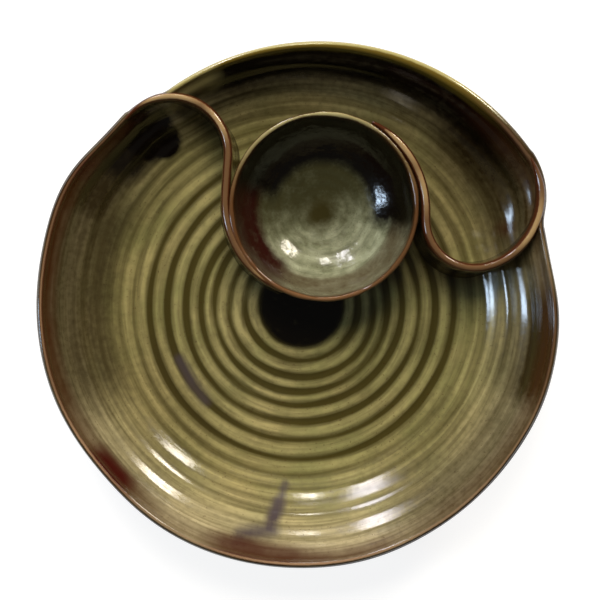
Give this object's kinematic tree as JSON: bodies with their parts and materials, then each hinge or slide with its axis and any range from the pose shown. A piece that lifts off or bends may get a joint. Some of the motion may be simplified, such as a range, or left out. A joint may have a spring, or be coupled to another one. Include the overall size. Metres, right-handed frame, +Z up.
{
  "type": "divided dip platter",
  "caption": "Round glazed stoneware serving platter with flared walls, whose S-shaped scrolls curl in, hold a dip bowl and part the dish into a large front space and a smaller back one.",
  "frame": {"origin": "under the middle of the dish, on the surface that the foot ring stands on", "axes": "+Z up, +Y towards the back wall and the dip bowl, +X to the right seen from the front"},
  "size_m": [0.3296, 0.3309, 0.062],
  "materials": {
    "olive_glaze": "glossy olive glaze over throwing rings, breaking to iron brown at the lip",
    "iron_glaze": "glossy glaze, iron brown over olive, tan along the lip",
    "dip_glaze": "glossy grey-green glaze, pooled dark in the middle, brown at the lip",
    "bare_stoneware": "unglazed fired clay, matt, slightly gritty"
  },
  "bodies": {
    "root": {"platter_floor": "olive_glaze", "foot_ring": "bare_stoneware", "front_wall": "olive_glaze", "back_wall": "olive_glaze", "left_scroll": "iron_glaze", "right_scroll": "iron_glaze", "dip_bowl": "dip_glaze"}
  },
  "joints": []
}
